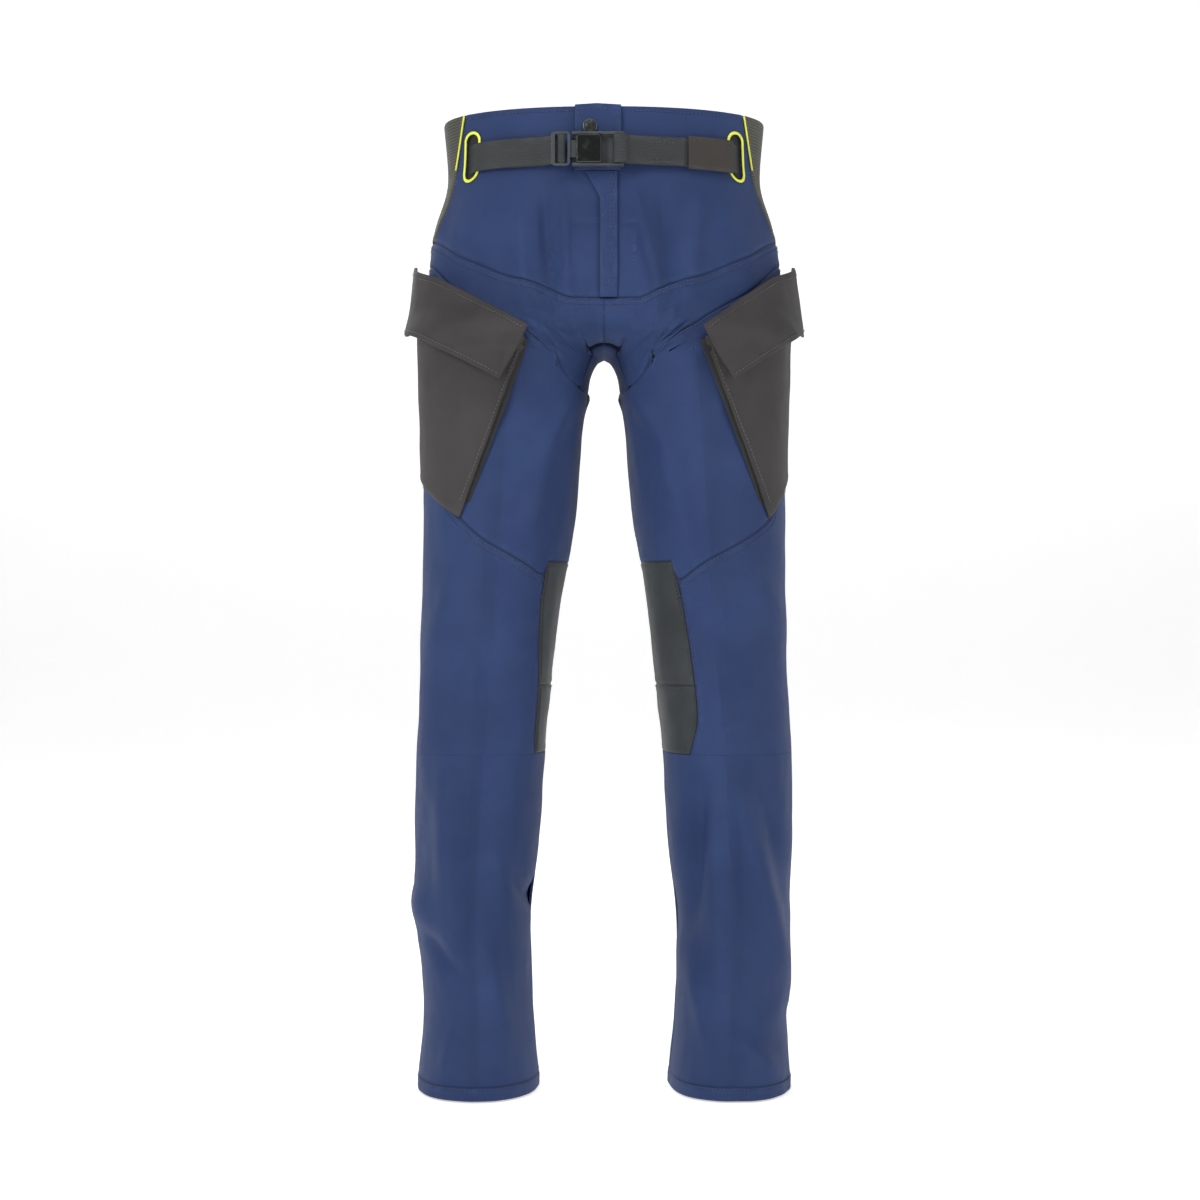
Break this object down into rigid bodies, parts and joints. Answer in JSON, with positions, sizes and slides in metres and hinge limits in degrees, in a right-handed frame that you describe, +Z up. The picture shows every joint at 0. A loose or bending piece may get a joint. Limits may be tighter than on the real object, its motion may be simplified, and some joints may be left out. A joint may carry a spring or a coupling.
{
  "type": "riding trousers",
  "caption": "Protective riding trousers standing as worn, with a webbing belt through slots, a side-release buckle, flapped cargo pockets, a covered fly and inner-knee grip panels.",
  "frame": {"origin": "centre of the waist opening, level with the waist edge", "axes": "+Z up the body out of the waist opening; -Y is the wearer's front; +X is the wearer's left"},
  "size_m": [0.4401, 0.2662, 1.0622],
  "materials": {
    "shell_blue": "fine woven softshell, matt",
    "pocket_grey": "plain coated weave, matt",
    "stretch_panel": "ribbed stretch fabric",
    "grip_panel": "grained grip leather, half matt",
    "pocket_bellows": "black lining weave",
    "yellow_trim": "moulded, half gloss",
    "webbing": "ribbed webbing",
    "belt_patch": "smooth, matt",
    "buckle_grey": "fine moulded grain",
    "buckle_black": "glossy",
    "dark_metal": "dark plated",
    "zip": "moulded"
  },
  "bodies": {
    "upper": {"front_yoke_left": "shell_blue", "front_yoke_right": "shell_blue", "hip_band": "shell_blue", "back_yoke": "shell_blue", "side_stretch_left": "stretch_panel", "side_stretch_right": "stretch_panel", "seat_left": "shell_blue", "seat_right": "shell_blue", "crotch_gusset": "shell_blue", "front_thigh_left": "shell_blue", "front_thigh_right": "shell_blue", "back_thigh_left": "shell_blue", "back_thigh_right": "shell_blue", "knee_front_left": "shell_blue", "knee_front_right": "shell_blue", "knee_fabric_left": "shell_blue", "knee_fabric_right": "shell_blue", "grip_upper_left": "grip_panel", "grip_upper_right": "grip_panel", "grip_lower_left": "grip_panel", "grip_lower_right": "grip_panel", "pocket_bag_left": "pocket_grey", "pocket_bag_right": "pocket_grey", "pocket_gusset_left": "pocket_bellows", "pocket_gusset_right": "pocket_bellows", "seam_piping_left": "yellow_trim", "seam_piping_right": "yellow_trim", "slot_trim_left": "yellow_trim", "slot_trim_right": "yellow_trim", "snap_stud": "dark_metal", "fly_underlap": "shell_blue", "zip_tape_left": "zip", "zip_tape_right": "zip", "zip_teeth_left": "zip", "zip_teeth_right": "zip", "zip_bottom_stop": "dark_metal", "belt_strap": "webbing", "belt_patch": "belt_patch", "buckle_housing": "buckle_grey"},
    "lower_leg_left": {"shin_front_left": "shell_blue", "shin_back_left": "shell_blue", "hem_left": "shell_blue"},
    "lower_leg_right": {"shin_front_right": "shell_blue", "shin_back_right": "shell_blue", "hem_right": "shell_blue"},
    "flap_left": {"pocket_flap_left": "pocket_grey"},
    "flap_right": {"pocket_flap_right": "pocket_grey"},
    "fly": {"fly_flap": "shell_blue"},
    "tab": {"waist_tab": "shell_blue", "snap_cap": "dark_metal", "snap_socket": "dark_metal"},
    "slider": {"zip_slider": "dark_metal", "zip_puller": "dark_metal"},
    "belt_half": {"belt_end": "webbing", "ladder_lock": "buckle_grey"},
    "cover": {"release_cover": "buckle_black"}
  },
  "joints": [
    {"name": "knee_left", "type": "hinge", "parent": "upper", "child": "lower_leg_left", "pos_m": [0.13, 0, -0.616], "axis": [1, 0, 0], "range_deg": [0, 75], "deforming": ["knee_fabric_left", "grip_upper_left", "grip_lower_left"]},
    {"name": "knee_right", "type": "hinge", "parent": "upper", "child": "lower_leg_right", "pos_m": [-0.13, 0, -0.616], "axis": [1, 0, 0], "range_deg": [0, 75], "deforming": ["knee_fabric_right", "grip_upper_right", "grip_lower_right"]},
    {"name": "flap_left_lift", "type": "hinge", "parent": "upper", "child": "flap_left", "pos_m": [0.17145, -0.06602, -0.194], "axis": [-0.5262, -0.7368, -0.4247], "range_deg": [0, 90], "stiffness_Nm_per_rad": 0.05},
    {"name": "flap_right_lift", "type": "hinge", "parent": "upper", "child": "flap_right", "pos_m": [-0.15845, -0.0678, -0.194], "axis": [-0.6035, 0.6914, 0.3971], "range_deg": [0, 90], "stiffness_Nm_per_rad": 0.05},
    {"name": "fly_open", "type": "hinge", "parent": "upper", "child": "fly", "pos_m": [0.014, -0.09875, -0.13], "axis": [0, 0, 1], "range_deg": [0, 80], "stiffness_Nm_per_rad": 0.005},
    {"name": "tab_unsnap", "type": "hinge", "parent": "upper", "child": "tab", "pos_m": [0.018, -0.09875, -0.033], "axis": [0, 0, 1], "range_deg": [0, 3.2], "stiffness_Nm_per_rad": 0.05},
    {"name": "zip_slide", "type": "slide", "parent": "upper", "child": "slider", "axis": [0, 0, -1], "range_m": [0, 0.115]},
    {"name": "buckle_unclip", "type": "slide", "parent": "upper", "child": "belt_half", "axis": [-1, 0, 0], "range_m": [0, 0.024]},
    {"name": "cover_press", "type": "slide", "parent": "upper", "child": "cover", "axis": [1, 0, 0], "range_m": [0, 0.008], "stiffness_N_per_m": 200}
  ]
}
